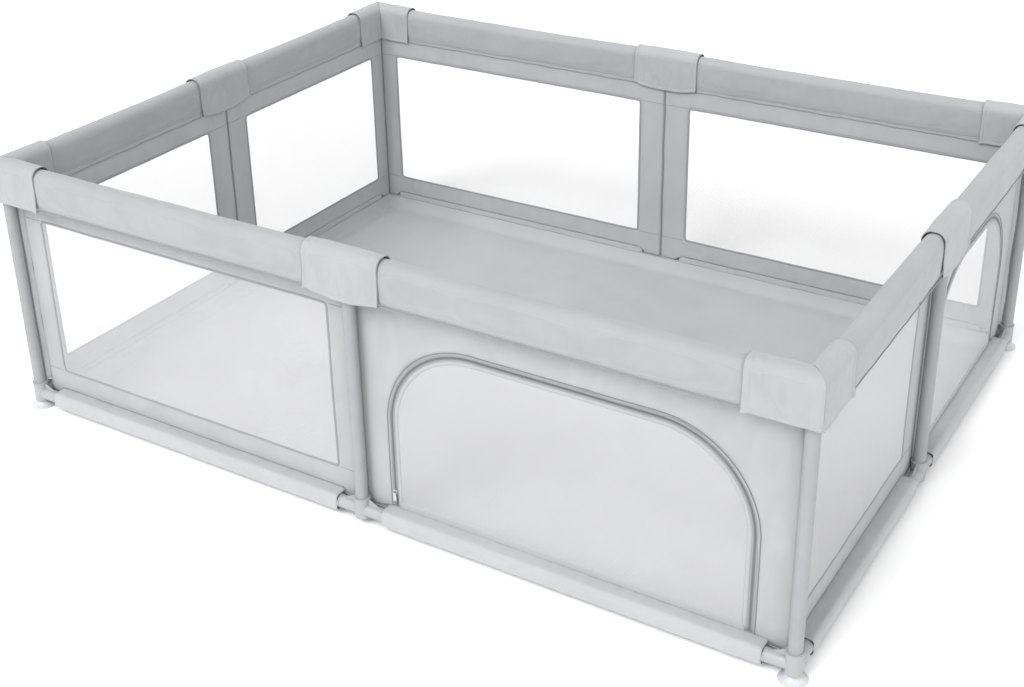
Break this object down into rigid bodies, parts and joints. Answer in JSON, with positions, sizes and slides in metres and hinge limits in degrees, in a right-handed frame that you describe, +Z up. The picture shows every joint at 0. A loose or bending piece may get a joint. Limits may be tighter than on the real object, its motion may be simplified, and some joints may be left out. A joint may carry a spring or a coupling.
{
  "type": "playpen",
  "caption": "Rectangular baby playpen with padded rails, mesh walls, zip doors and suction feet on a tube frame.",
  "frame": {"origin": "on the floor, under the middle of the pen", "axes": "+X along the long side, -Y out through the front side with the larger zip door, +Z up"},
  "size_m": [1.997, 1.4968, 0.6463],
  "materials": {
    "post_tube": "satin",
    "rail_tube": "satin",
    "connector_plastic": "satin",
    "suction_cup": "satin",
    "foam": "matte",
    "window_mesh": "matte",
    "door_mesh": "matte",
    "mat_fabric": "matte",
    "wall_fabric": "matte",
    "sleeve_fabric": "matte",
    "rail_fabric": "matte",
    "zip_coil": "satin",
    "zip_metal": "polished"
  },
  "bodies": {
    "root": {"floor_mat": "mat_fabric", "floor_mat_edging": "mat_fabric", "front_bottom_sleeves": "sleeve_fabric", "front_left_bottom_connector": "connector_plastic", "front_left_corner_wrap": "rail_fabric", "front_left_post": "post_tube", "front_middle_bottom_connector": "connector_plastic", "front_middle_post": "post_tube", "front_middle_wrap": "rail_fabric", "front_rail_covers": "rail_fabric", "front_right_bottom_connector": "connector_plastic", "front_right_corner_wrap": "rail_fabric", "front_right_post": "post_tube", "front_wall_border": "wall_fabric", "front_window_mesh": "window_mesh", "front_zip_chain": "zip_coil", "left_bottom_sleeves": "sleeve_fabric", "left_middle_bottom_connector": "connector_plastic", "left_middle_post": "post_tube", "left_middle_wrap": "rail_fabric", "left_rail_covers": "rail_fabric", "left_wall_border": "wall_fabric", "left_window_mesh": "window_mesh", "long_bottom_tubes": "rail_tube", "long_rail_foams": "foam", "long_top_tubes": "rail_tube", "rear_bottom_sleeves": "sleeve_fabric", "rear_left_bottom_connector": "connector_plastic", "rear_left_corner_wrap": "rail_fabric", "rear_left_post": "post_tube", "rear_middle_bottom_connector": "connector_plastic", "rear_middle_post": "post_tube", "rear_middle_wrap": "rail_fabric", "rear_rail_covers": "rail_fabric", "rear_right_bottom_connector": "connector_plastic", "rear_right_corner_wrap": "rail_fabric", "rear_right_post": "post_tube", "rear_wall_border": "wall_fabric", "rear_window_mesh": "window_mesh", "right_bottom_sleeves": "sleeve_fabric", "right_middle_bottom_connector": "connector_plastic", "right_middle_post": "post_tube", "right_middle_wrap": "rail_fabric", "right_rail_covers": "rail_fabric", "right_wall_border": "wall_fabric", "right_window_mesh": "window_mesh", "right_zip_chain": "zip_coil", "short_bottom_tubes": "rail_tube", "short_rail_foams": "foam", "short_top_tubes": "rail_tube", "suction_feet": "suction_cup", "top_corner_connectors": "connector_plastic", "top_middle_connectors": "connector_plastic"},
    "front_door_flap": {"front_door": "door_mesh"},
    "front_slider": {"front_zip_slider": "zip_metal"},
    "front_pull": {"front_zip_pull": "zip_metal"},
    "right_door_flap": {"right_door": "door_mesh"},
    "right_slider": {"right_zip_slider": "zip_metal"},
    "right_pull": {"right_zip_pull": "zip_metal"}
  },
  "joints": [
    {"name": "front_door_hinge", "type": "hinge", "parent": "root", "child": "front_door_flap", "pos_m": [0.4745, -0.7003, 0.058], "axis": [1, 0, 0], "range_deg": [0, 95]},
    {"name": "front_zip_travel", "type": "slide", "parent": "root", "child": "front_slider", "axis": [0, 0, 1], "range_m": [0, 0.16]},
    {"name": "front_pull_swing", "type": "hinge", "parent": "front_slider", "child": "front_pull", "pos_m": [0.076, -0.7059, 0.088], "axis": [-1, 0, 0], "range_deg": [0, 150]},
    {"name": "right_door_hinge", "type": "hinge", "parent": "root", "child": "right_door_flap", "pos_m": [0.9503, 0.3495, 0.058], "axis": [0, 1, 0], "range_deg": [0, 95]},
    {"name": "right_zip_travel", "type": "slide", "parent": "root", "child": "right_slider", "axis": [0, 0, 1], "range_m": [0, 0.16]},
    {"name": "right_pull_swing", "type": "hinge", "parent": "right_slider", "child": "right_pull", "pos_m": [0.9559, 0.076, 0.088], "axis": [0, -1, 0], "range_deg": [0, 150]}
  ]
}
